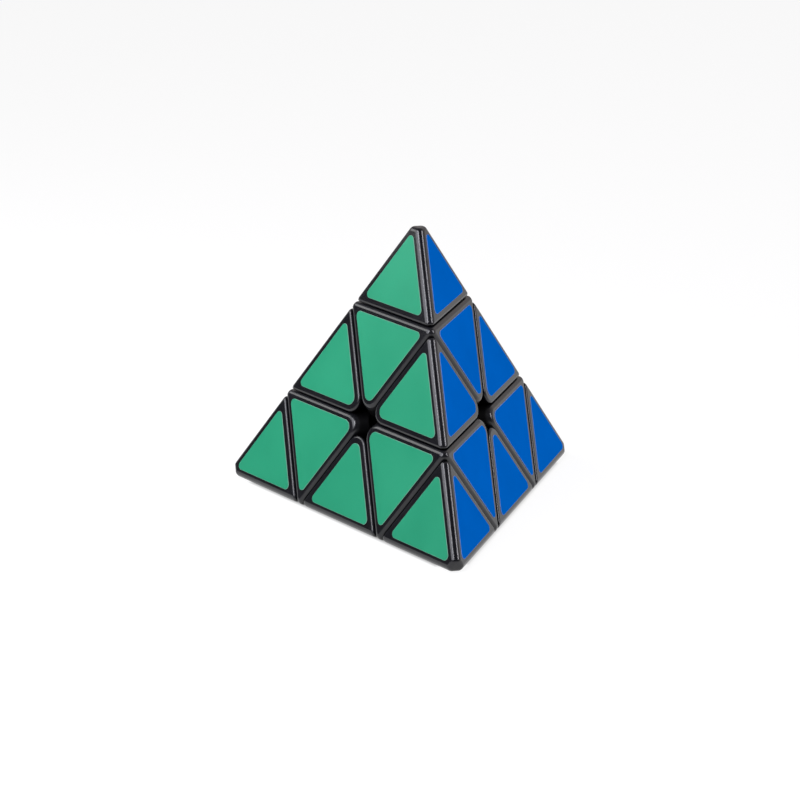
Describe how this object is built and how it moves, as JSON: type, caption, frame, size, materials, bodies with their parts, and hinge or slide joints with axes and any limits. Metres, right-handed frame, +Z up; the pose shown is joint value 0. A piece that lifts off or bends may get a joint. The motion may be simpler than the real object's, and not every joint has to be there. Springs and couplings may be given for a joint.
{
  "type": "pyramid twisty puzzle",
  "caption": "Tetrahedral twisty puzzle with turning corner layers and tips, hollow black mouldings on a screwed and sprung core, and coloured triangular stickers.",
  "frame": {"origin": "middle of the core, where the four turning axes meet", "axes": "+Z up through the top corner, -Y towards the front corner, the base face is level"},
  "size_m": [0.0934, 0.0812, 0.0765],
  "materials": {
    "black_abs": "moulded, satin, with polished rounded rims",
    "core_nylon": "moulded, matte dark grey",
    "screw_steel": "zinc plated",
    "spring_steel": "drawn wire",
    "vinyl_blue": "satin vinyl sticker",
    "vinyl_green": "satin vinyl sticker",
    "vinyl_red": "satin vinyl sticker",
    "vinyl_yellow": "satin vinyl sticker"
  },
  "bodies": {
    "core": {"core_spider": "core_nylon", "screw_top": "screw_steel", "screw_front": "screw_steel", "screw_right": "screw_steel", "screw_left": "screw_steel", "spring_top": "spring_steel", "spring_front": "spring_steel", "spring_right": "spring_steel", "spring_left": "spring_steel"},
    "axial_top": {"axial_top": "black_abs", "sticker_red_axial_top": "vinyl_red", "sticker_green_axial_top": "vinyl_green", "sticker_blue_axial_top": "vinyl_blue"},
    "tip_top": {"tip_top": "black_abs", "sticker_red_tip_top": "vinyl_red", "sticker_green_tip_top": "vinyl_green", "sticker_blue_tip_top": "vinyl_blue"},
    "axial_front": {"axial_front": "black_abs", "sticker_yellow_axial_front": "vinyl_yellow", "sticker_green_axial_front": "vinyl_green", "sticker_blue_axial_front": "vinyl_blue"},
    "tip_front": {"tip_front": "black_abs", "sticker_yellow_tip_front": "vinyl_yellow", "sticker_green_tip_front": "vinyl_green", "sticker_blue_tip_front": "vinyl_blue"},
    "axial_right": {"axial_right": "black_abs", "sticker_yellow_axial_right": "vinyl_yellow", "sticker_red_axial_right": "vinyl_red", "sticker_blue_axial_right": "vinyl_blue"},
    "tip_right": {"tip_right": "black_abs", "sticker_yellow_tip_right": "vinyl_yellow", "sticker_red_tip_right": "vinyl_red", "sticker_blue_tip_right": "vinyl_blue"},
    "axial_left": {"axial_left": "black_abs", "sticker_yellow_axial_left": "vinyl_yellow", "sticker_red_axial_left": "vinyl_red", "sticker_green_axial_left": "vinyl_green"},
    "tip_left": {"tip_left": "black_abs", "sticker_yellow_tip_left": "vinyl_yellow", "sticker_red_tip_left": "vinyl_red", "sticker_green_tip_left": "vinyl_green"},
    "edge_top_front": {"edge_top_front": "black_abs", "sticker_green_edge_top_front": "vinyl_green", "sticker_blue_edge_top_front": "vinyl_blue"},
    "edge_top_right": {"edge_top_right": "black_abs", "sticker_red_edge_top_right": "vinyl_red", "sticker_blue_edge_top_right": "vinyl_blue"},
    "edge_top_left": {"edge_top_left": "black_abs", "sticker_red_edge_top_left": "vinyl_red", "sticker_green_edge_top_left": "vinyl_green"},
    "edge_front_right": {"edge_front_right": "black_abs", "sticker_yellow_edge_front_right": "vinyl_yellow", "sticker_blue_edge_front_right": "vinyl_blue"},
    "edge_front_left": {"edge_front_left": "black_abs", "sticker_yellow_edge_front_left": "vinyl_yellow", "sticker_green_edge_front_left": "vinyl_green"},
    "edge_right_left": {"edge_right_left": "black_abs", "sticker_yellow_edge_right_left": "vinyl_yellow", "sticker_red_edge_right_left": "vinyl_red"}
  },
  "joints": [
    {"name": "layer_top", "type": "hinge", "parent": "core", "child": "axial_top", "pos_m": [0, 0, 0], "axis": [0, 0, 1], "range_deg": [-120, 240]},
    {"name": "layer_front", "type": "hinge", "parent": "core", "child": "axial_front", "pos_m": [0, 0, 0], "axis": [0, -0.9428, -0.3333], "range_deg": [-120, 240]},
    {"name": "layer_right", "type": "hinge", "parent": "core", "child": "axial_right", "pos_m": [0, 0, 0], "axis": [0.8165, 0.4714, -0.3333], "range_deg": [-120, 240]},
    {"name": "layer_left", "type": "hinge", "parent": "core", "child": "axial_left", "pos_m": [0, 0, 0], "axis": [-0.8165, 0.4714, -0.3333], "range_deg": [-120, 240]},
    {"name": "tip_turn_top", "type": "hinge", "parent": "axial_top", "child": "tip_top", "pos_m": [0, 0, 0], "axis": [0, 0, 1], "continuous": true},
    {"name": "tip_turn_front", "type": "hinge", "parent": "axial_front", "child": "tip_front", "pos_m": [0, 0, 0], "axis": [0, -0.9428, -0.3333], "continuous": true},
    {"name": "tip_turn_right", "type": "hinge", "parent": "axial_right", "child": "tip_right", "pos_m": [0, 0, 0], "axis": [0.8165, 0.4714, -0.3333], "continuous": true},
    {"name": "tip_turn_left", "type": "hinge", "parent": "axial_left", "child": "tip_left", "pos_m": [0, 0, 0], "axis": [-0.8165, 0.4714, -0.3333], "continuous": true},
    {"name": "edge_top_front_turn", "type": "hinge", "parent": "axial_front", "child": "edge_top_front", "pos_m": [0, 0, 0], "axis": [0, 0, 1], "range_deg": [-120, 240]},
    {"name": "edge_top_right_turn", "type": "hinge", "parent": "axial_right", "child": "edge_top_right", "pos_m": [0, 0, 0], "axis": [0, 0, 1], "range_deg": [-120, 240]},
    {"name": "edge_top_left_turn", "type": "hinge", "parent": "axial_left", "child": "edge_top_left", "pos_m": [0, 0, 0], "axis": [0, 0, 1], "range_deg": [-120, 240]},
    {"name": "edge_front_right_turn", "type": "hinge", "parent": "axial_front", "child": "edge_front_right", "pos_m": [0, 0, 0], "axis": [0.8165, 0.4714, -0.3333], "range_deg": [-120, 240]},
    {"name": "edge_front_left_turn", "type": "hinge", "parent": "axial_left", "child": "edge_front_left", "pos_m": [0, 0, 0], "axis": [0, -0.9428, -0.3333], "range_deg": [-120, 240]},
    {"name": "edge_right_left_turn", "type": "hinge", "parent": "axial_right", "child": "edge_right_left", "pos_m": [0, 0, 0], "axis": [-0.8165, 0.4714, -0.3333], "range_deg": [-120, 240]}
  ],
  "couplings": [
    {"joint": "edge_top_front_turn", "follows": "layer_top", "ratio": 1},
    {"joint": "edge_top_right_turn", "follows": "layer_top", "ratio": 1},
    {"joint": "edge_top_left_turn", "follows": "layer_top", "ratio": 1},
    {"joint": "edge_front_right_turn", "follows": "layer_right", "ratio": 1},
    {"joint": "edge_front_left_turn", "follows": "layer_front", "ratio": 1},
    {"joint": "edge_right_left_turn", "follows": "layer_left", "ratio": 1}
  ]
}
